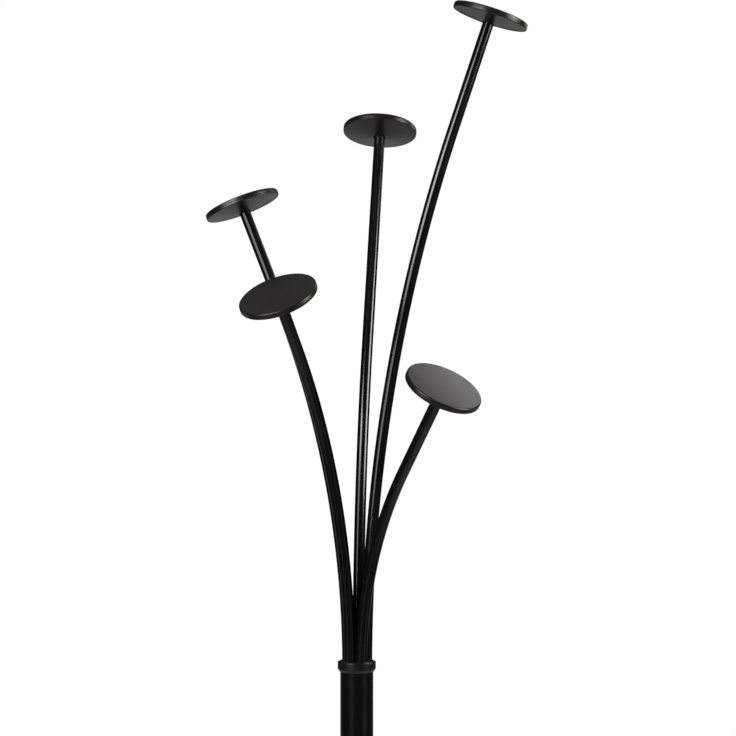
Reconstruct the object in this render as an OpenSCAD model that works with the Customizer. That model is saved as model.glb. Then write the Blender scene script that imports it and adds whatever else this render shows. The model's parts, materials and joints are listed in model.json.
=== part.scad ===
// Coat stand with five bent branches.
// Frame: millimetres, +Z up, origin on the floor under the pole's axis.
// +X is to the right and -Y to the front, as the stand is usually seen.

/* [Base] */
// Diameter of the weighted base
base_d = 375; // [340:1:400]
// Wall of the moulded base cover
cover_wall = 2.5; // [2:0.1:3]
// Height of the cover's upright rim
rim_h = 8; // [5:0.5:12]
// Rounding between the rim and the dome
rim_round = 9; // [6:0.5:12]
// Slope of the dome where it meets the rounding, in degrees
dome_slope = 7.5; // [5:0.5:9]
// Thickness of the bottom plate
plate_t = 2; // [1.5:0.5:3]
// Height of the rubber foot pads below the plate
pad_h = 4; // [3:0.5:6]
// Number of foot pads
pad_count = 6; // [4:1:8]

/* [Pole] */
// Outer diameter of the pole tubes
pole_d = 35; // [34:0.5:38]
// Wall of the pole tubes
pole_wall = 1.5; // [1:0.1:2]
// Height of the joint between the two tubes
joint_z = 606; // [500:1:700]
// Thickness of the trim ring between the two tubes
joint_ring_h = 4; // [2:0.5:6]
// Height of the pole's top end above the floor
pole_top_z = 1177; // [1100:1:1250]

/* [Crown] */
// Outer diameter of the crown collar
collar_d = 40.4; // [40:0.2:44]
// Height of the collar
collar_h = 12; // [11.5:0.5:13]
// Height of the collar's lip above the hub
collar_lip = 9; // [7:0.5:9]
// Height by which the collar's top rises towards the branches
collar_crown = 1.3; // [0.5:0.1:2]
// Height of the bevel under the collar's band
collar_bevel = 3.2; // [2:0.2:4]
// Radius of the ring on which the branches stand
foot_ring_r = 10.6; // [10.5:0.1:10.8]
// Direction of the first foot, in degrees from +X
first_foot = 10; // [0:1:71]
// Thickness of the hub's flange on the pole's top end
flange_t = 2; // [1.5:0.5:2.5]

/* [Branch tube] */
// Outer diameter of the branch tubes
arm_d = 12; // [11.5:0.1:12]
// Wall of the branch tubes
arm_wall = 1.2; // [1:0.1:1.5]
// Outer diameter of the drawn-down foot
swage_d = 9; // [8.5:0.1:9]
// Length of the drawn-down foot
swage_len = 42; // [30:1:42]
// Straight length between the hub and the bend
lead_len = 1.5; // [1:0.5:4]

/* [Tall branch] */
// Direction in which the tall branch leans, in degrees from +X
tall_dir = 0; // [-20:1:20]
// Bend radius of the tall branch
tall_bend_r = 1814; // [1600:1:2000]
// Bend angle of the tall branch
tall_bend = 18.3; // [15:0.1:20]
// Straight length beyond the bend of the tall branch
tall_tip = 117; // [60:1:160]

/* [Back branch] */
// Direction in which the back branch leans
back_dir = 80; // [70:1:110]
// Bend radius of the back branch
back_bend_r = 1068; // [1000:1:1300]
// Bend angle of the back branch
back_bend = 18.7; // [15:0.1:22]
// Straight length beyond the bend of the back branch
back_tip = 244; // [120:1:280]

/* [Left branch] */
// Direction in which the left branch leans
left_dir = 163; // [150:1:180]
// Bend radius of the left branch
left_bend_r = 1013; // [900:1:1100]
// Bend angle of the left branch
left_bend = 22.0; // [18:0.1:24]
// Straight length beyond the bend of the left branch
left_tip = 112; // [60:1:160]

/* [Front left branch] */
// Direction in which the front left branch leans
front_left_dir = 237; // [220:1:250]
// Bend radius of the front left branch
front_left_bend_r = 632; // [550:1:700]
// Bend angle of the front left branch
front_left_bend = 32.4; // [28:0.1:36]
// Straight length beyond the bend of the front left branch
front_left_tip = 52; // [40:1:120]

/* [Front right branch] */
// Direction in which the front right branch leans
front_right_dir = 311; // [295:1:325]
// Bend radius of the front right branch
front_right_bend_r = 366; // [340:1:420]
// Bend angle of the front right branch
front_right_bend = 34.8; // [30:0.1:38]
// Straight length beyond the bend of the front right branch
front_right_tip = 99; // [60:1:140]

/* [Heads] */
// Diameter of the round heads
head_d = 82; // [70:1:90]
// Height of the heads' rim
head_t = 7; // [6:0.5:10]
// Depth of the cone under the rim
head_cone = 5.5; // [4:0.5:8]
// Rounding of the head's upper edge
head_top_round = 1.6; // [0.5:0.1:2.5]
// Rounding of the head's lower edge
head_low_round = 0.8; // [0.5:0.1:2]
// Diameter of the recess that takes the branch's end
recess_d = 13.6; // [13:0.1:16]
// Depth of that recess
recess_depth = 4; // [2:0.5:5]

/* [Hidden] */
$fn = 96;

// Indices of the branches, in the order of their feet round the hub
TALL = 0;
BACK = 1;
LEFT = 2;
FRONT_LEFT = 3;
FRONT_RIGHT = 4;
ARM_COUNT = 5;
ALL_ARMS = [0 : ARM_COUNT - 1];
lean_dir = [tall_dir, back_dir, left_dir, front_left_dir, front_right_dir];
bend_r = [tall_bend_r, back_bend_r, left_bend_r, front_left_bend_r, front_right_bend_r];
bend = [tall_bend, back_bend, left_bend, front_left_bend, front_right_bend];
tip_len = [tall_tip, back_tip, left_tip, front_left_tip, front_right_tip];

// Long bends are drawn with short chords, so that their mesh stays true
bend_fn = 1440;
section_fn = 48;

// Base, from the floor up
base_r = base_d / 2;
rim_bottom_z = pad_h - 1;
plate_top_z = pad_h + plate_t;
rim_arc_z = rim_bottom_z + rim_h;
pad_r = 11;
pad_peg_r = 3;
pad_ring_r = base_r - 26;
plate_r = base_r - cover_wall - 1.5;
foot_flat_r = 26;
dome_start_r = base_r - rim_round + rim_round * sin(dome_slope);
dome_start_z = rim_arc_z + rim_round * cos(dome_slope);
dome_r = (dome_start_r - foot_flat_r) / sin(dome_slope);
base_top_z = dome_start_z + dome_r * (1 - cos(dome_slope));
dome_centre_z = base_top_z - dome_r;
boss_r = 5;
boss_ring_r = 140;
boss_count = 4;
screw_r = 1.6;
screw_len = 14;
screw_head_r = 4;
screw_head_h = 2.4;
ballast_r = base_r - 16;
ballast_gap = 0.5;

// Base bolt and its washers, in a recess under the ballast
bolt_r = 4.9;
bolt_clear_r = 6;
bolt_head_af = 17;
bolt_head_h = 6.4;
spring_washer_h = 2.6;
washer_r = 15;
washer_h = 2;
bolt_recess_r = 20;
bolt_recess_top_z = plate_top_z + bolt_head_h + spring_washer_h + washer_h;
bolt_grip = 26;

// Pole, plugs and the joint between the tubes
pole_r = pole_d / 2;
bore_r = pole_r - pole_wall;
plug_len = 30;
thread_gap = 0.1;
joint_stud_r = 6;
joint_stud_len = 52;
joint_ring_r = pole_r + 1;
joint_ring_bore_r = 8;
upper_tube_z = joint_z + joint_ring_h;

// Crown: the hub plugs into the pole, the collar covers the joint
hub_top_z = pole_top_z + flange_t;
collar_top_z = hub_top_z + collar_lip;
socket_r = swage_d / 2 + 0.05;
socket_depth = swage_len + 2;
hub_floor = 18;
hub_bottom_z = hub_top_z - socket_depth - hub_floor;
m5_r = 2.5;
m5_clear_r = 2.65;
nut_af = 8;
nut_h = 4;
small_washer_r = 4.2;
small_washer_h = 1.4;
stud_overhang = 8;
lock_screw_dir = first_foot + 108;
lock_screw_z = hub_bottom_z + hub_floor / 2;
lock_screw_r = 2;
lock_screw_depth = 11;
lock_screw_head_r = 3.6;
lock_screw_head_h = 1.6;

// Branch tube ends
arm_r = arm_d / 2;
arm_bore_r = arm_r - arm_wall;
swage_r = swage_d / 2;
swage_bore_r = swage_r - arm_wall;
neck_r = arm_r - 0.1;
neck_lap = 1;
foot_plug_len = 18;
tip_plug_len = 20;
m6_r = 3;
stud_flange_r = 6;
stud_flange_t = 1.4;
stud_flange_z = recess_depth + 2;
stud_reach = 12;

// Heads: the cone runs from the boss round the recess to the lower edge of the rim
head_r = head_d / 2;
head_boss_r = recess_d / 2 + 1.4;
head_slope = atan(head_cone / (head_r - head_boss_r));
head_top_z = head_cone + head_t;

// Points along an arc round (cx, cy), from angle a0 to a1
function arc(cx, cy, r, a0, a1, steps) =
    [for (i = [0 : steps]) let (a = a0 + (a1 - a0) * i / steps) [cx + r * cos(a), cy + r * sin(a)]];

// Half section of the cover's skin, moved inwards by inset
function cover_skin(inset) = concat(
    [[base_r - inset, rim_bottom_z]],
    arc(base_r - rim_round, rim_arc_z, rim_round - inset, 0, 90 - dome_slope, 12),
    arc(foot_flat_r, dome_centre_z, dome_r - inset, 90 - dome_slope, 90, 24));

function reversed(points) = [for (i = [len(points) - 1 : -1 : 0]) points[i]];

module disc(r, z, h, hole = 0) {
    translate([0, 0, z]) difference() {
        cylinder(r = r, h = h);
        if (hole > 0) translate([0, 0, -1]) cylinder(r = hole, h = h + 2);
    }
}

module hexagon(across_flats, z, h, hole = 0) {
    translate([0, 0, z]) difference() {
        cylinder(d = across_flats / cos(30), h = h, $fn = 6);
        if (hole > 0) translate([0, 0, -1]) cylinder(r = hole, h = h + 2);
    }
}

module around(count, radius, start = 0) {
    for (i = [0 : count - 1]) rotate([0, 0, start + 360 * i / count]) translate([radius, 0, 0]) children();
}

// Moves its children to the foot of branch i, with +X in the direction of its lean
module at_foot(i) {
    foot = first_foot + 360 * i / ARM_COUNT;
    translate([foot_ring_r * cos(foot), foot_ring_r * sin(foot), 0]) rotate([0, 0, lean_dir[i]]) children();
}

// Moves its children to the upper end of branch i's bend, with +Z along the straight tip
module at_bend_end(i) {
    at_foot(i) translate([0, 0, hub_top_z + lead_len])
        translate([bend_r[i] * (1 - cos(bend[i])), 0, bend_r[i] * sin(bend[i])])
        rotate([0, bend[i], 0]) children();
}

// Moves its children to the lower end of head i, with +Z out of the branch
module at_tip(i) {
    at_bend_end(i) translate([0, 0, tip_len[i]]) children();
}

module tube_section() {
    difference() {
        circle(r = arm_r, $fn = section_fn);
        circle(r = arm_bore_r, $fn = section_fn);
    }
}

// Branch: drawn-down foot, one long bend and a straight tip
module arm(i) {
    color([0.06, 0.06, 0.065]) {
        at_foot(i) translate([0, 0, hub_top_z]) rotate_extrude($fn = section_fn) polygon([
            [swage_bore_r, -swage_len], [swage_r, -swage_len], [swage_r, 0], [neck_r, 0],
            [neck_r, lead_len + neck_lap], [swage_bore_r, lead_len + neck_lap]]);
        at_bend_end(i) {
            translate([bend_r[i], 0, 0]) mirror([1, 0, 0]) rotate([-90, 0, 0])
                rotate_extrude(angle = bend[i], $fn = bend_fn) translate([bend_r[i], 0]) tube_section();
            linear_extrude(height = tip_len[i] + recess_depth) tube_section();
        }
    }
}

// Head: a round disc with a flat top, a shallow cone below, and a cavity for its stud
module head(i) {
    low_centre_z = (head_r - head_low_round - head_boss_r) * tan(head_slope) + head_low_round / cos(head_slope);
    color([0.09, 0.09, 0.09]) at_tip(i) rotate_extrude() polygon(concat(
        [[0, stud_flange_z + stud_flange_t], [stud_flange_r, stud_flange_z + stud_flange_t],
         [stud_flange_r, stud_flange_z], [m6_r, stud_flange_z], [m6_r, recess_depth],
         [recess_d / 2, recess_depth], [recess_d / 2, 0], [head_boss_r, 0]],
        arc(head_r - head_low_round, low_centre_z, head_low_round, head_slope - 90, 0, 5),
        arc(head_r - head_top_round, head_top_z - head_top_round, head_top_round, 0, 90, 8),
        [[0, head_top_z]]));
}

module base_cover() {
    color([0.05, 0.05, 0.05]) difference() {
        union() {
            rotate_extrude($fn = 180) polygon(concat(
                cover_skin(0), [[bolt_clear_r, base_top_z], [bolt_clear_r, base_top_z - cover_wall]],
                reversed(cover_skin(cover_wall))));
            around(boss_count, boss_ring_r, 45) disc(boss_r, plate_top_z, boss_top_z() - plate_top_z);
        }
        around(boss_count, boss_ring_r, 45) disc(screw_r, plate_top_z - 1, screw_len);
    }
}

// The bosses end inside the cover's wall
function boss_top_z() =
    dome_centre_z + sqrt(pow(dome_r, 2) - pow(boss_ring_r - foot_flat_r, 2)) - cover_wall / 2;

module base_ballast() {
    top_r = dome_r - cover_wall - ballast_gap;
    edge_angle = acos((ballast_r - foot_flat_r) / top_r);
    color([0.55, 0.54, 0.52]) difference() {
        rotate_extrude($fn = 180) polygon(concat(
            [[bolt_clear_r, bolt_recess_top_z], [bolt_recess_r, bolt_recess_top_z],
             [bolt_recess_r, plate_top_z], [ballast_r, plate_top_z]],
            arc(foot_flat_r, dome_centre_z, top_r, edge_angle, 90, 16),
            [[foot_flat_r - 2, base_top_z - cover_wall], [bolt_clear_r, base_top_z - cover_wall]]));
        around(boss_count, boss_ring_r, 45) disc(boss_r + 1, plate_top_z - 1, 40);
    }
}

module base_plate() {
    color([0.16, 0.16, 0.17]) difference() {
        disc(plate_r, pad_h, plate_t, bolt_recess_r);
        around(boss_count, boss_ring_r, 45) disc(screw_r + 0.3, pad_h - 1, plate_t + 2);
        around(pad_count, pad_ring_r) disc(pad_peg_r, pad_h - 1, plate_t + 2);
    }
}

module base_plate_screws() {
    color([0.6, 0.6, 0.62]) around(boss_count, boss_ring_r, 45) {
        disc(screw_head_r, pad_h - screw_head_h, screw_head_h);
        disc(screw_r - thread_gap, pad_h, screw_len);
    }
}

module foot_pads() {
    color([0.03, 0.03, 0.03]) around(pad_count, pad_ring_r) {
        rotate_extrude() polygon([[0, 0], [pad_r - 1, 0], [pad_r, 1], [pad_r, pad_h], [0, pad_h]]);
        disc(pad_peg_r, pad_h, plate_t);
    }
}

module base_bolt() {
    color([0.6, 0.6, 0.62]) {
        hexagon(bolt_head_af, plate_top_z, bolt_head_h);
        disc(bolt_r, plate_top_z + bolt_head_h, base_top_z + bolt_grip - plate_top_z - bolt_head_h);
    }
}

module base_bolt_spring_washer() {
    color([0.4, 0.4, 0.42]) disc(9, plate_top_z + bolt_head_h, spring_washer_h, bolt_r + 0.3);
}

module base_bolt_washer() {
    color([0.6, 0.6, 0.62]) disc(washer_r, bolt_recess_top_z - washer_h, washer_h, bolt_r + 0.3);
}

// Moulded ring that covers the foot of the pole
module pole_foot_ring() {
    color([0.05, 0.05, 0.05]) translate([0, 0, base_top_z]) rotate_extrude() polygon(concat(
        [[pole_r + thread_gap, 0], [foot_flat_r - 1, 0], [foot_flat_r - 1, 3]],
        reversed(arc(foot_flat_r - 1, 9, 6, 180, 270, 8)),
        arc(foot_flat_r - 8, 14, 1, 0, 90, 4),
        [[pole_r + thread_gap, 15]]));
}

module pole_foot_plug() {
    color([0.6, 0.6, 0.62]) disc(bore_r, base_top_z, plug_len, bolt_r + thread_gap);
}

module lower_pole_tube() {
    color([0.05, 0.05, 0.055]) disc(pole_r, base_top_z, joint_z - base_top_z, bore_r);
}

module joint_lower_plug() {
    color([0.6, 0.6, 0.62]) disc(bore_r, joint_z - plug_len, plug_len, joint_stud_r + thread_gap);
}

module joint_stud() {
    color([0.6, 0.6, 0.62]) disc(joint_stud_r, joint_z + (joint_ring_h - joint_stud_len) / 2, joint_stud_len);
}

module joint_ring() {
    color([0.04, 0.04, 0.04]) difference() {
        rotate_extrude() polygon(concat(
            [[0, joint_z]],
            arc(joint_ring_r - 1, joint_z + 1, 1, -90, 0, 4),
            arc(joint_ring_r - 1, upper_tube_z - 1, 1, 0, 90, 4),
            [[0, upper_tube_z]]));
        disc(joint_ring_bore_r, joint_z - 1, joint_ring_h + 2);
    }
}

module joint_upper_plug() {
    color([0.6, 0.6, 0.62]) disc(bore_r, upper_tube_z, plug_len, joint_stud_r + thread_gap);
}

module lock_screw_shape(grow) {
    rotate([0, 0, lock_screw_dir]) translate([pole_r, 0, lock_screw_z]) rotate([0, -90, 0])
        cylinder(r = lock_screw_r + grow, h = lock_screw_depth + grow);
}

module upper_pole_tube() {
    color([0.05, 0.05, 0.055]) difference() {
        disc(pole_r, upper_tube_z, pole_top_z - upper_tube_z, bore_r);
        rotate([0, 0, lock_screw_dir]) translate([bore_r - 3, 0, lock_screw_z]) rotate([0, 90, 0])
            cylinder(r = lock_screw_r + 0.2, h = 8);
    }
}

module crown_hub() {
    color([0.35, 0.35, 0.37]) difference() {
        union() {
            disc(bore_r, hub_bottom_z, pole_top_z - hub_bottom_z);
            disc(pole_r, pole_top_z, flange_t);
        }
        around(ARM_COUNT, foot_ring_r, first_foot) {
            disc(socket_r, hub_top_z - socket_depth, socket_depth + 1);
            disc(m5_clear_r, hub_bottom_z - 1, hub_floor + 2);
        }
        lock_screw_shape(thread_gap);
    }
}

// Collar: slips over the pole's end and its lip rests on the hub's flange
module crown_collar() {
    collar_r = collar_d / 2;
    collar_bottom_z = collar_top_z - collar_h;
    band_top_z = collar_top_z - collar_crown;
    lip_r = foot_ring_r + arm_r + 0.3;
    color([0.04, 0.04, 0.04]) rotate_extrude() polygon(concat(
        [[pole_r + thread_gap, collar_bottom_z], [pole_r + 0.5, collar_bottom_z],
         [collar_r, collar_bottom_z + collar_bevel]],
        arc(collar_r - 0.8, band_top_z - 0.8, 0.8, 0, 62, 6),
        [[lip_r + 0.3, collar_top_z], [lip_r, collar_top_z - 0.3], [lip_r, hub_top_z],
         [pole_r + thread_gap, hub_top_z]]));
}

module crown_lock_screw() {
    color([0.3, 0.3, 0.32]) {
        lock_screw_shape(0);
        rotate([0, 0, lock_screw_dir]) translate([pole_r, 0, lock_screw_z]) rotate([0, 90, 0]) difference() {
            cylinder(r1 = lock_screw_head_r, r2 = lock_screw_head_r - 0.8, h = lock_screw_head_h);
            translate([0, 0, 0.6]) cylinder(d = 2.5 / cos(30), h = 3, $fn = 6);
        }
    }
}

// Studs pressed into the drawn-down feet, with the nuts that pull them into the hub
module arm_foot_studs() {
    foot_end_z = hub_top_z - swage_len;
    color([0.6, 0.6, 0.62]) around(ARM_COUNT, foot_ring_r, first_foot) {
        disc(swage_bore_r, foot_end_z, foot_plug_len);
        disc(m5_r, hub_bottom_z - stud_overhang, foot_end_z - hub_bottom_z + stud_overhang);
    }
}

module arm_spring_washers() {
    color([0.4, 0.4, 0.42]) around(ARM_COUNT, foot_ring_r, first_foot)
        disc(small_washer_r, hub_bottom_z - small_washer_h, small_washer_h, m5_r + thread_gap);
}

module arm_nuts() {
    color([0.6, 0.6, 0.62]) around(ARM_COUNT, foot_ring_r, first_foot)
        hexagon(nut_af, hub_bottom_z - small_washer_h - nut_h, nut_h, m5_r + thread_gap);
}

// Threaded plugs in the branches' upper ends
module arm_tip_plugs() {
    color([0.6, 0.6, 0.62]) for (i = ALL_ARMS) at_tip(i)
        disc(arm_bore_r, recess_depth - tip_plug_len, tip_plug_len, m6_r + thread_gap);
}

// Studs moulded into the heads
module head_studs() {
    color([0.6, 0.6, 0.62]) for (i = ALL_ARMS) at_tip(i) {
        disc(stud_flange_r, stud_flange_z, stud_flange_t);
        disc(m6_r, -stud_reach, stud_reach + stud_flange_z);
    }
}

base_cover();
base_ballast();
base_plate();
base_plate_screws();
foot_pads();
base_bolt();
base_bolt_washer();
base_bolt_spring_washer();
pole_foot_ring();
pole_foot_plug();
lower_pole_tube();
joint_lower_plug();
joint_stud();
joint_ring();
joint_upper_plug();
upper_pole_tube();
crown_hub();
crown_collar();
crown_lock_screw();
arm(TALL);  // arm_tall
arm(BACK);  // arm_back
arm(LEFT);  // arm_left
arm(FRONT_LEFT);  // arm_front_left
arm(FRONT_RIGHT);  // arm_front_right
arm_foot_studs();
arm_spring_washers();
arm_nuts();
arm_tip_plugs();
head_studs();
head(TALL);  // head_tall
head(BACK);  // head_back
head(LEFT);  // head_left
head(FRONT_LEFT);  // head_front_left
head(FRONT_RIGHT);  // head_front_right
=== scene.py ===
"""Looks of a free-standing coat stand: black powder-coated tubes, moulded heads and a weighted round base."""
import json
import math

import bmesh
import bpy
from mathutils import Matrix, Vector


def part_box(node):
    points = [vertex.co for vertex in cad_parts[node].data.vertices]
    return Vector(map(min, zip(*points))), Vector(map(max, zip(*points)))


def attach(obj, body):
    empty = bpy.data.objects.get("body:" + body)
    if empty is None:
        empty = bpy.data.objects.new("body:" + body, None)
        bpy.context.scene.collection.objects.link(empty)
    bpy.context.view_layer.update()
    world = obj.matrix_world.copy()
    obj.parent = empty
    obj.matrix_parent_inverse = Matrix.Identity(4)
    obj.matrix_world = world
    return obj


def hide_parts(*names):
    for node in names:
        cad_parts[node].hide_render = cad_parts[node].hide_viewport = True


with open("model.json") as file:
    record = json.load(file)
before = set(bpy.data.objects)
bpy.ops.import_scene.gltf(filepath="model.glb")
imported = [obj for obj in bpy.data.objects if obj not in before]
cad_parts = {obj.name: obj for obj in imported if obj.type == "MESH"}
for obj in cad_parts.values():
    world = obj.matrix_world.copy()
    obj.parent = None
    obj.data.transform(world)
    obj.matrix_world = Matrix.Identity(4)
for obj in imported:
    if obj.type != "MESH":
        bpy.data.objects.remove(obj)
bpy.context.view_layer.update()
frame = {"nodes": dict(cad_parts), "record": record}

MM = 0.001

# Levels and radii of the CAD model, in metres
HUB_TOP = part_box("crown_hub")[1].z
COLLAR_LOW, COLLAR_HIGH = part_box("crown_collar")
POLE_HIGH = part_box("upper_pole_tube")[1]
JOINT_LOW, JOINT_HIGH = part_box("joint_ring")
POLE_FOOT_LOW, POLE_FOOT_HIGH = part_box("pole_foot_ring")
COVER_LOW, COVER_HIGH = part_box("base_cover")
PAD_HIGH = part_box("foot_pads")[1]
PLATE_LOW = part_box("base_plate")[0].z

# Driving dimensions of the pieces that are made again here
POLE_R = POLE_HIGH.x
POLE_BORE_R = POLE_R - 1.5 * MM
ARM_R = 6 * MM
FOOT_RING_R = 10.6 * MM
FIRST_FOOT = 10
LEAD = 1.5 * MM
HEAD_R = 41 * MM
HEAD_RIM = 7 * MM
HEAD_CONE = 5.5 * MM
RECESS_R = 6.8 * MM
RECESS_DEPTH = 4 * MM

# Branches in the order of their feet: lean direction, bend radius, bend angle and straight tip
BRANCHES = [
    ("tall", 0, 1814 * MM, 18.3, 117 * MM),
    ("back", 80, 1068 * MM, 18.7, 244 * MM),
    ("left", 163, 1013 * MM, 22.0, 112 * MM),
    ("front_left", 237, 632 * MM, 32.4, 52 * MM),
    ("front_right", 311, 366 * MM, 34.8, 99 * MM),
]


# ---------------------------------------------------------------- materials

def node_material(name):
    material = bpy.data.materials.new(name)
    material.use_nodes = True
    nodes = material.node_tree.nodes
    shader = next(n for n in nodes if n.type == "BSDF_PRINCIPLED")
    coordinates = nodes.new("ShaderNodeTexCoord")
    return material, nodes, material.node_tree.links, shader, coordinates.outputs["Object"]


def noise(nodes, links, place, size, detail=2.0, roughness=0.5):
    """Noise whose features are about size metres across."""
    texture = nodes.new("ShaderNodeTexNoise")
    texture.inputs["Scale"].default_value = 1 / size
    texture.inputs["Detail"].default_value = detail
    texture.inputs["Roughness"].default_value = roughness
    links.new(place, texture.inputs["Vector"])
    return texture.outputs["Fac"]


def spread(nodes, links, value, low, high):
    """Maps the middle range of a noise to low..high."""
    mapped = nodes.new("ShaderNodeMapRange")
    mapped.inputs["From Min"].default_value = 0.3
    mapped.inputs["From Max"].default_value = 0.7
    mapped.inputs["To Min"].default_value = low
    mapped.inputs["To Max"].default_value = high
    links.new(value, mapped.inputs["Value"])
    return mapped.outputs["Result"]


def tones(nodes, links, value, dark, light):
    """Colour that moves from dark to light with a noise."""
    ramp = nodes.new("ShaderNodeValToRGB")
    ramp.color_ramp.elements[0].position = 0.35
    ramp.color_ramp.elements[1].position = 0.65
    ramp.color_ramp.elements[0].color = (*dark, 1)
    ramp.color_ramp.elements[1].color = (*light, 1)
    links.new(value, ramp.inputs["Fac"])
    return ramp.outputs["Color"]


def bump(nodes, links, height, depth, strength=1.0, under=None):
    node = nodes.new("ShaderNodeBump")
    node.inputs["Distance"].default_value = depth
    node.inputs["Strength"].default_value = strength
    links.new(height, node.inputs["Height"])
    if under is not None:
        links.new(under, node.inputs["Normal"])
    return node.outputs["Normal"]


def finish_surface(name, dark, light, rough, patch, grain, grain_depth, peel=None, peel_depth=0.0,
                   metallic=0.0, specular=0.5, tint=(1.0, 1.0, 1.0)):
    """A surface with patchy colour and gloss, a fine grain and, if peel is given, a wider ripple."""
    material, nodes, links, shader, place = node_material(name)
    links.new(tones(nodes, links, noise(nodes, links, place, patch, 4.0, 0.6), dark, light),
              shader.inputs["Base Color"])
    links.new(spread(nodes, links, noise(nodes, links, place, patch * 0.4, 5.0, 0.65), *rough),
              shader.inputs["Roughness"])
    normal = None
    if peel is not None:
        normal = bump(nodes, links, noise(nodes, links, place, peel, 1.0), peel_depth)
    normal = bump(nodes, links, noise(nodes, links, place, grain, 3.0, 0.6), grain_depth, 1.0, normal)
    links.new(normal, shader.inputs["Normal"])
    shader.inputs["Metallic"].default_value = metallic
    shader.inputs["Specular IOR Level"].default_value = specular
    shader.inputs["Specular Tint"].default_value = (*tint, 1.0)
    return material


# Finish of each material slot. patch, grain and peel are feature sizes, the depths are of their bumps.
FINISHES = {
    "branch_paint": dict(dark=(0.0016, 0.0016, 0.0014), light=(0.004, 0.004, 0.0037), rough=(0.13, 0.19),
                         patch=50 * MM, grain=0.5 * MM, grain_depth=0.0015 * MM,
                         peel=2.2 * MM, peel_depth=0.005 * MM, specular=0.25),
    "pole_paint": dict(dark=(0.0016, 0.0016, 0.0013), light=(0.0035, 0.0035, 0.003), rough=(0.17, 0.22),
                       patch=60 * MM, grain=0.5 * MM, grain_depth=0.0015 * MM,
                       peel=2.4 * MM, peel_depth=0.005 * MM, specular=0.25),
    "trim_plastic": dict(dark=(0.003, 0.003, 0.003), light=(0.006, 0.006, 0.006), rough=(0.28, 0.36),
                         patch=20 * MM, grain=0.25 * MM, grain_depth=0.003 * MM, specular=0.25),
    "head_plastic": dict(dark=(0.003, 0.0029, 0.0028), light=(0.006, 0.0058, 0.0056), rough=(0.28, 0.34),
                         patch=30 * MM, grain=0.22 * MM, grain_depth=0.002 * MM, specular=0.3,
                         tint=(1.0, 0.87, 0.79)),
    "cover_plastic": dict(dark=(0.012, 0.012, 0.0125), light=(0.018, 0.018, 0.0185), rough=(0.45, 0.56),
                          patch=60 * MM, grain=0.45 * MM, grain_depth=0.05 * MM),
    "plate_paint": dict(dark=(0.02, 0.02, 0.021), light=(0.035, 0.035, 0.036), rough=(0.4, 0.6),
                        patch=50 * MM, grain=0.6 * MM, grain_depth=0.02 * MM,
                        peel=4 * MM, peel_depth=0.04 * MM),
    "pad_rubber": dict(dark=(0.014, 0.014, 0.014), light=(0.03, 0.03, 0.029), rough=(0.7, 0.85),
                       patch=8 * MM, grain=0.3 * MM, grain_depth=0.03 * MM, specular=0.3),
    "hub_nylon": dict(dark=(0.012, 0.012, 0.012), light=(0.02, 0.02, 0.02), rough=(0.4, 0.55),
                      patch=10 * MM, grain=0.3 * MM, grain_depth=0.01 * MM),
    "zinc_steel": dict(dark=(0.42, 0.42, 0.40), light=(0.62, 0.62, 0.58), rough=(0.24, 0.42),
                       patch=4 * MM, grain=0.4 * MM, grain_depth=0.006 * MM, metallic=1.0),
    "spring_steel": dict(dark=(0.03, 0.03, 0.032), light=(0.08, 0.078, 0.075), rough=(0.3, 0.5),
                         patch=3 * MM, grain=0.3 * MM, grain_depth=0.006 * MM, metallic=0.9),
    "cement": dict(dark=(0.26, 0.25, 0.235), light=(0.42, 0.41, 0.39), rough=(0.85, 0.95),
                   patch=12 * MM, grain=1.2 * MM, grain_depth=0.25 * MM, specular=0.25),
}


# ---------------------------------------------------------------- mesh helpers

def arc(cx, cy, radius, start, end, steps=8):
    """Points on an arc, angles in degrees."""
    return [(cx + radius * math.cos(math.radians(start + (end - start) * i / steps)),
             cy + radius * math.sin(math.radians(start + (end - start) * i / steps)))
            for i in range(steps + 1)]


def rounded(points, radius=0.3 * MM, steps=3):
    """An open outline with its inner corners rounded off."""
    result = [points[0]]
    for before, corner, after in zip(points, points[1:], points[2:]):
        a, c, b = Vector(before), Vector(corner), Vector(after)
        r = min(radius, (a - c).length * 0.45, (b - c).length * 0.45)
        start, end = c + (a - c).normalized() * r, c + (b - c).normalized() * r
        for i in range(steps + 1):
            t = i / steps
            result.append(tuple(start * (1 - t) ** 2 + c * 2 * t * (1 - t) + end * t ** 2))
    return result + [points[-1]]


def held(outline, closed, hold=0.3 * MM):
    """The outline with two more points on each long straight stretch, so that it shades straight."""
    points = [Vector(p) for p in outline]
    result = []
    for i, (start, end) in enumerate(zip(points, points[1:] + points[:1])):
        result.append(tuple(start))
        length = (end - start).length
        if length > 4 * hold and (closed or i < len(points) - 1):
            step = (end - start) * (hold / length)
            result += [tuple(start + step), tuple(end - step)]
    return result


def object_from(name, mesh_data, material, smooth_angle=35):
    mesh = bpy.data.meshes.new(name)
    mesh_data.to_mesh(mesh)
    mesh_data.free()
    mesh.materials.append(material)
    piece = bpy.data.objects.new(name, mesh)
    bpy.context.scene.collection.objects.link(piece)
    mesh.polygons.foreach_set("use_smooth", [True] * len(mesh.polygons))
    mesh.set_sharp_from_angle(angle=math.radians(smooth_angle))
    return piece


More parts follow.
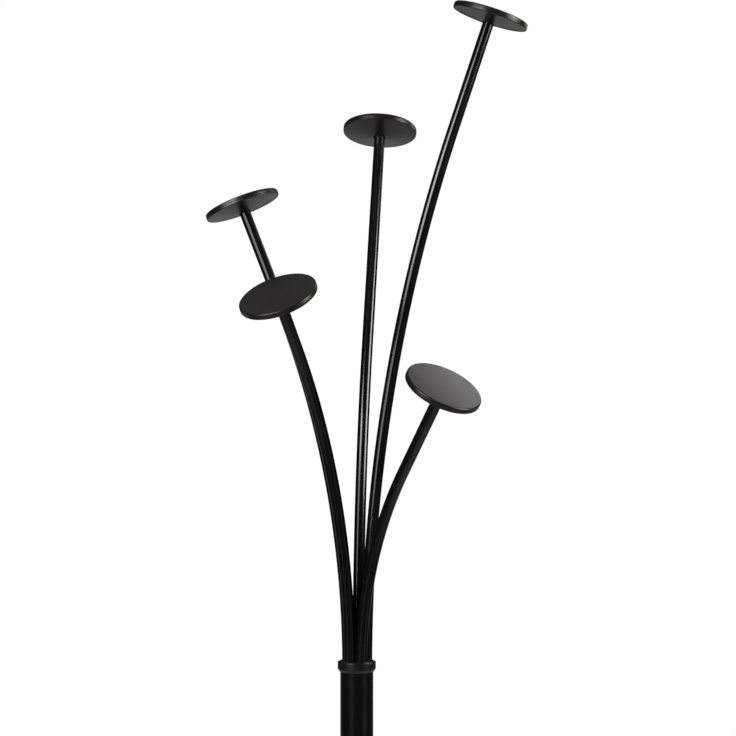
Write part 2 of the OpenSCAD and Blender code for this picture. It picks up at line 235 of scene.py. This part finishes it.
def lathe(data, outline, segments=128, closed=True, matrix=Matrix.Identity(4)):
    """Adds the outline, pairs of radius and height, turned round Z. A closed outline joins its ends."""
    rings = []
    for radius, height in outline:
        if radius < 1e-7:
            rings.append([data.verts.new(matrix @ Vector((0, 0, height)))])
            continue
        rings.append([data.verts.new(matrix @ Vector((radius * math.cos(a), radius * math.sin(a), height)))
                      for a in (2 * math.pi * i / segments for i in range(segments))])
    pairs = list(zip(rings, rings[1:])) + ([(rings[-1], rings[0])] if closed else [])
    for lower, upper in pairs:
        for i in range(segments):
            j = (i + 1) % segments
            quad = [lower[i % len(lower)], lower[j % len(lower)],
                    upper[j % len(upper)], upper[i % len(upper)]]
            corners = list(dict.fromkeys(quad))
            if len(corners) > 2:
                data.faces.new(corners)
    return data


def lathed(name, outline, material, segments=128, closed=True, matrices=(Matrix.Identity(4),),
           smooth_angle=35):
    data = bmesh.new()
    for matrix in matrices:
        lathe(data, held(outline, closed), segments, closed, matrix)
    bmesh.ops.recalc_face_normals(data, faces=data.faces)
    return object_from(name, data, material, smooth_angle)


def stands_for(piece, slot, *nodes):
    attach(piece, "root")
    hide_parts(*nodes)
    return piece


# ---------------------------------------------------------------- branches

def branch_stations(index, lean, bend_radius, bend, tip):
    """Centreline of a branch as (point, tangent, side) from the hub up to the head's lower face."""
    foot = math.radians(FIRST_FOOT + 72 * index)
    out = Vector((math.cos(math.radians(lean)), math.sin(math.radians(lean)), 0))
    up = Vector((0, 0, 1))
    side = up.cross(out)
    start = Vector((FOOT_RING_R * math.cos(foot), FOOT_RING_R * math.sin(foot), HUB_TOP))
    stations = [(start, up, side)]
    steps = 90
    for i in range(steps + 1):
        angle = math.radians(bend) * i / steps
        rise, reach = bend_radius * math.sin(angle), bend_radius * (1 - math.cos(angle))
        point = start + up * (LEAD + rise) + out * reach
        stations.append((point, up * math.cos(angle) + out * math.sin(angle), side))
    end, tangent, side = stations[-1]
    tip_steps = 12
    stations += [(end + tangent * tip * i / tip_steps, tangent, side) for i in range(1, tip_steps + 1)]
    return stations


def head_matrix(station):
    """Frame of a head: origin at the centre of its lower face, +Z out of the branch."""
    point, tangent, side = station
    out = side.cross(tangent)
    return Matrix.Translation(point) @ Matrix((out, side, tangent)).transposed().to_4x4()


def make_branch(name, stations, material):
    """A swept round tube, closed at both ends, that reaches the bottom of the head's recess."""
    data = bmesh.new()
    segments = 48
    end, tangent, side = stations[-1]
    edge = 0.4 * MM
    reach = RECESS_DEPTH
    sections = [(s, ARM_R) for s in stations]
    sections.append(((end + tangent * (reach - edge), tangent, side), ARM_R))
    sections.append(((end + tangent * reach, tangent, side), ARM_R - edge))
    rings = []
    for (point, direction, across), radius in sections:
        out = across.cross(direction)
        rings.append([data.verts.new(point + (out * math.cos(a) + across * math.sin(a)) * radius)
                      for a in (2 * math.pi * i / segments for i in range(segments))])
    for lower, upper in zip(rings, rings[1:]):
        for i in range(segments):
            j = (i + 1) % segments
            data.faces.new((lower[i], lower[j], upper[j], upper[i]))
    data.faces.new(list(reversed(rings[0])))
    data.faces.new(rings[-1])
    bmesh.ops.recalc_face_normals(data, faces=data.faces)
    return object_from(name, data, material)


def head_outline():
    """Half section of a head: recess, boss, shallow cone, rim with a parting line, slightly crowned top."""
    low_edge, top_edge = 0.8 * MM, 1.6 * MM
    crown = 0.8 * MM
    line = 0.1 * MM
    boss_r = RECESS_R + 1.4 * MM
    slope = math.degrees(math.atan(HEAD_CONE / (HEAD_R - boss_r)))
    low_z = ((HEAD_R - low_edge - boss_r) * math.tan(math.radians(slope))
             + low_edge / math.cos(math.radians(slope)))
    middle = HEAD_CONE + HEAD_RIM * 0.4
    rim_top = HEAD_CONE + HEAD_RIM - crown
    points = [(0.0, RECESS_DEPTH)]
    points += arc(RECESS_R - 0.3 * MM, RECESS_DEPTH - 0.3 * MM, 0.3 * MM, 90, 0, 4)
    points += arc(RECESS_R + 0.3 * MM, 0.3 * MM, 0.3 * MM, 180, 270, 4)
    points += arc(boss_r - 0.4 * MM, 0.4 * MM, 0.4 * MM, -90, slope - 90, 2)
    points += arc(HEAD_R - line - low_edge, low_z, low_edge, slope - 90, 0, 6)
    points += [(HEAD_R - line, middle - 0.25 * MM), (HEAD_R, middle - 0.12 * MM),
               (HEAD_R, middle + 0.12 * MM), (HEAD_R - line, middle + 0.25 * MM)]
    points += arc(HEAD_R - line - top_edge, rim_top - top_edge, top_edge, 0, 88, 10)
    crown_steps = 12
    edge_r = HEAD_R - line - top_edge
    for i in range(1, crown_steps + 1):
        r = edge_r * (1 - i / crown_steps)
        points.append((r, rim_top + crown * (1 - (r / edge_r) ** 2)))
    return points


def make_branches(materials):
    for index, (name, lean, bend_radius, bend, tip) in enumerate(BRANCHES):
        stations = branch_stations(index, lean, bend_radius, bend, tip)
        tube = make_branch(f"branch_{name}", stations, materials["branch_paint"])
        stands_for(tube, "branch_paint", f"arm_{name}")
        disc = lathed(f"disc_{name}", head_outline(), materials["head_plastic"], 160, closed=False,
                      matrices=[head_matrix(stations[-1])], smooth_angle=50)
        stands_for(disc, "head_plastic", f"head_{name}")


# ---------------------------------------------------------------- pole, crown and base

def make_pole(materials):
    for name, low, high in (("lower_pole_tube", POLE_FOOT_LOW.z, JOINT_LOW.z),
                            ("upper_pole_tube", JOINT_HIGH.z, POLE_HIGH.z)):
        edge = 0.25 * MM
        outline = [(POLE_BORE_R, low), *arc(POLE_R - edge, low + edge, edge, -90, 0, 3),
                   *arc(POLE_R - edge, high - edge, edge, 0, 90, 3), (POLE_BORE_R, high)]
        tube = lathed(f"{name}_painted", outline, materials["pole_paint"], 128)
        stands_for(tube, "pole_paint", name)
    ring_r = JOINT_HIGH.x
    ring = rounded([(POLE_BORE_R / 2, JOINT_LOW.z), (ring_r, JOINT_LOW.z), (ring_r, JOINT_HIGH.z),
                    (POLE_BORE_R / 2, JOINT_HIGH.z)], 0.9 * MM, 5)
    stands_for(lathed("joint_trim", ring, materials["trim_plastic"]), "trim_plastic", "joint_ring")


def make_collar(materials):
    outer, low, high = COLLAR_HIGH.x, COLLAR_LOW.z, COLLAR_HIGH.z
    bore = POLE_R + 0.1 * MM
    lip_r = FOOT_RING_R + ARM_R + 0.3 * MM
    band_high = high - 1.3 * MM
    outline = rounded([(bore, low), (POLE_R + 0.5 * MM, low), (outer, low + 3.2 * MM), (outer, band_high),
                       (lip_r + 0.3 * MM, high), (lip_r, high - 0.3 * MM), (lip_r, HUB_TOP), (bore, HUB_TOP)],
                      0.6 * MM, 5)
    collar = lathed("collar_moulding", outline, materials["trim_plastic"], 160)
    stands_for(collar, "trim_plastic", "crown_collar")


def make_foot_ring(materials):
    low, high, outer = POLE_FOOT_LOW.z, POLE_FOOT_HIGH.z, POLE_FOOT_HIGH.x
    bore = POLE_R + 0.1 * MM
    outline = [(bore, low), *arc(outer - 0.5 * MM, low + 0.5 * MM, 0.5 * MM, -90, 0, 4),
               *arc(outer - 0.5 * MM, low + 2.5 * MM, 0.5 * MM, 0, 90, 4),
               *reversed(arc(outer, low + 9 * MM, 6 * MM, 180, 268, 14)),
               *arc(outer - 7 * MM, high - MM, MM, 0, 90, 5), (bore, high)]
    stands_for(lathed("foot_ring_moulding", outline, materials["trim_plastic"], 160), "trim_plastic",
               "pole_foot_ring")


def make_base(materials):
    """Cover: upright rim, rounding and a shallow dome up to the flat under the pole."""
    outer, low, high = COVER_HIGH.x, COVER_LOW.z, COVER_HIGH.z
    wall, rounding, slope, flat_r = 2.5 * MM, 9 * MM, 7.5, 26 * MM
    rim_top = low + 8 * MM
    lean = math.sin(math.radians(slope))
    dome_r = (outer - rounding + rounding * lean - flat_r) / lean

    def skin(inset):
        return ([(outer - inset, low)] + arc(outer - rounding, rim_top, rounding - inset, 0, 90 - slope, 16)
                + arc(flat_r, high - dome_r, dome_r - inset, 90 - slope, 90, 40))

    outline = skin(0) + [(6 * MM, high), (6 * MM, high - wall)] + list(reversed(skin(wall)))
    cover = lathed("cover_moulding", outline, materials["cover_plastic"], 256)
    stands_for(cover, "cover_plastic", "base_cover")


def make_pads(materials):
    """Rubber pads with a soft edge and a moulded groove in the sole."""
    ring_r = PAD_HIGH.x - 11 * MM
    pad_r, height = 11 * MM, PLATE_LOW
    sole = [(0, 0), (5 * MM, 0), (5.4 * MM, 0.6 * MM), (6.2 * MM, 0.6 * MM), (6.6 * MM, 0)]
    outline = sole + [(pad_r - MM, 0), *arc(pad_r - MM, MM, MM, -80, 0, 5), (pad_r, height), (0, height)]
    places = [Matrix.Rotation(math.radians(60 * i), 4, "Z") @ Matrix.Translation((ring_r, 0, 0))
              for i in range(6)]
    pads = lathed("rubber_pads", outline, materials["pad_rubber"], 48, closed=False, matrices=places)
    stands_for(pads, "pad_rubber", "foot_pads")


def paint_cad_nodes(materials):
    """CAD nodes that stay get the material of their slot."""
    slots = {s["node"]: s["material_slot"] for s in frame["record"]["subparts"]}
    for name, node in frame["nodes"].items():
        node.data.materials.clear()
        node.data.materials.append(materials[slots[name]])
        node.data.polygons.foreach_set("use_smooth", [True] * len(node.data.polygons))
        node.data.set_sharp_from_angle(angle=math.radians(35))


# ---------------------------------------------------------------- stage, light and camera

def make_floor(radius=2.4, fade=0.7):
    """A pale round floor that fades out beyond the radius fade."""
    data = bmesh.new()
    lathe(data, [(0, -0.2 * MM), (radius, -0.2 * MM)], 96, closed=False)
    material, nodes, links, shader, place = node_material("pale_floor")
    clouds = noise(nodes, links, place, 0.5, 3.0)
    colour = tones(nodes, links, clouds, (0.62, 0.62, 0.62), (0.66, 0.66, 0.66))
    links.new(colour, shader.inputs["Base Color"])
    shader.inputs["Roughness"].default_value = 0.7
    shader.inputs["Emission Color"].default_value = (1, 1, 1, 1)
    shader.inputs["Emission Strength"].default_value = 0.12
    distance, edge = nodes.new("ShaderNodeVectorMath"), nodes.new("ShaderNodeMapRange")
    distance.operation = "LENGTH"
    edge.interpolation_type = "SMOOTHSTEP"
    for name, value in (("From Min", fade), ("From Max", radius), ("To Min", 1.0), ("To Max", 0.0)):
        edge.inputs[name].default_value = value
    links.new(place, distance.inputs[0])
    links.new(distance.outputs["Value"], edge.inputs["Value"])
    links.new(edge.outputs["Result"], shader.inputs["Alpha"])
    object_from("floor", data, material)


def softbox(name, target, azimuth, elevation, distance, width, height, power):
    """An area light that looks at target from azimuth (0 is the front, 90 the right) and elevation."""
    light = bpy.data.lights.new(name, "AREA")
    light.shape = "RECTANGLE"
    light.size, light.size_y, light.energy = width, height, power
    lamp = bpy.data.objects.new(name, light)
    bpy.context.scene.collection.objects.link(lamp)
    a, e = math.radians(azimuth), math.radians(elevation)
    away = Vector((math.sin(a) * math.cos(e), -math.cos(a) * math.cos(e), math.sin(e)))
    lamp.location = target + away * distance
    lamp.rotation_mode = "QUATERNION"
    lamp.rotation_quaternion = away.to_track_quat("Z", "Y")
    lamp.visible_camera = False


def ramp_between(nodes, links, value, start, end):
    """0 at start and 1 at end, smooth between."""
    step = nodes.new("ShaderNodeMapRange")
    step.interpolation_type = "SMOOTHSTEP"
    step.inputs["From Min"].default_value, step.inputs["From Max"].default_value = start, end
    links.new(value, step.inputs["Value"])
    return step.outputs["Result"]


def make_world(backdrop=1.0, room=0.008, sweep=0.5, ceiling=0.3):
    """White behind the object; in its reflections a dim room, its ceiling and a pale floor far behind."""
    world = bpy.data.worlds.new("studio")
    bpy.context.scene.world = world
    world.use_nodes = True
    nodes, links = world.node_tree.nodes, world.node_tree.links
    nodes.clear()
    output, mix = nodes.new("ShaderNodeOutputWorld"), nodes.new("ShaderNodeMixShader")
    path, around, white = (nodes.new("ShaderNodeLightPath"), nodes.new("ShaderNodeBackground"),
                           nodes.new("ShaderNodeBackground"))
    direction, axes = nodes.new("ShaderNodeTexCoord"), nodes.new("ShaderNodeSeparateXYZ")
    links.new(direction.outputs["Generated"], axes.inputs[0])
    # Parts of the unit sphere of directions: +Y is away from the camera, +Z is up
    behind = ramp_between(nodes, links, axes.outputs["Y"], 0.35, 0.75)
    low = ramp_between(nodes, links, axes.outputs["Z"], -0.08, -0.3)
    high = ramp_between(nodes, links, axes.outputs["Z"], 0.45, 0.8)
    area, level, above = (nodes.new("ShaderNodeMath"), nodes.new("ShaderNodeMath"),
                          nodes.new("ShaderNodeMath"))
    area.operation, level.operation, above.operation = "MULTIPLY", "MULTIPLY_ADD", "MULTIPLY_ADD"
    links.new(behind, area.inputs[0])
    links.new(low, area.inputs[1])
    links.new(area.outputs[0], level.inputs[0])
    level.inputs[1].default_value = sweep
    links.new(high, above.inputs[0])
    above.inputs[1].default_value, above.inputs[2].default_value = ceiling, room
    links.new(above.outputs[0], level.inputs[2])
    links.new(level.outputs[0], around.inputs["Strength"])
    around.inputs["Color"].default_value = (1, 1, 1, 1)
    white.inputs["Strength"].default_value = backdrop
    white.inputs["Color"].default_value = (1, 1, 1, 1)
    links.new(path.outputs["Is Camera Ray"], mix.inputs["Fac"])
    links.new(around.outputs[0], mix.inputs[1])
    links.new(white.outputs[0], mix.inputs[2])
    links.new(mix.outputs[0], output.inputs["Surface"])


def make_lights():
    """Panels beside the branches, dim ones beside the pole and a small one over the front right head."""
    crown, pole = Vector((0, 0, HUB_TOP + 0.66)), Vector((0, 0, 0.6))
    head = Vector((0.09, -0.1, HUB_TOP + 0.3))
    # name, target, azimuth, elevation, distance, width, height, power
    for light in (("left_softbox", crown, -40, 1, 1.8, 1.3, 1.1, 37),
                  ("upper_left_softbox", crown, -40, 13, 1.8, 1.1, 0.45, 26),
                  ("right_softbox", crown, 73, 6, 1.8, 0.9, 0.8, 56),
                  ("left_skirt", pole, -36, 0, 1.8, 0.9, 0.75, 0.7),
                  ("right_skirt", pole, 59, 0, 1.8, 0.8, 0.75, 0.7),
                  ("top_softbox", head, 146, 34, 1.0, 0.42, 0.45, 1.35)):
        softbox(*light)


def make_camera():
    """In front of the branches, a third of a metre above the hub and nearly level, as in the photo."""
    data = bpy.data.cameras.new("camera")
    camera = bpy.data.objects.new("camera", data)
    bpy.context.scene.collection.objects.link(camera)
    data.sensor_width, data.lens = 36, 112.3
    camera.location = (0.0119, -2.428, HUB_TOP + 0.3367)
    camera.rotation_euler = (math.radians(90 - 0.435), 0, 0)
    data.clip_start, data.clip_end = 0.05, 100
    bpy.context.scene.camera = camera


# ---------------------------------------------------------------- build

make_camera()
finishes = {name: finish_surface(name, **finish) for name, finish in FINISHES.items()}
paint_cad_nodes(finishes)
make_branches(finishes)
make_pole(finishes)
make_collar(finishes)
make_foot_ring(finishes)
make_base(finishes)
make_pads(finishes)
make_floor()
make_world()
make_lights()
bpy.context.scene.view_settings.view_transform = "Standard"
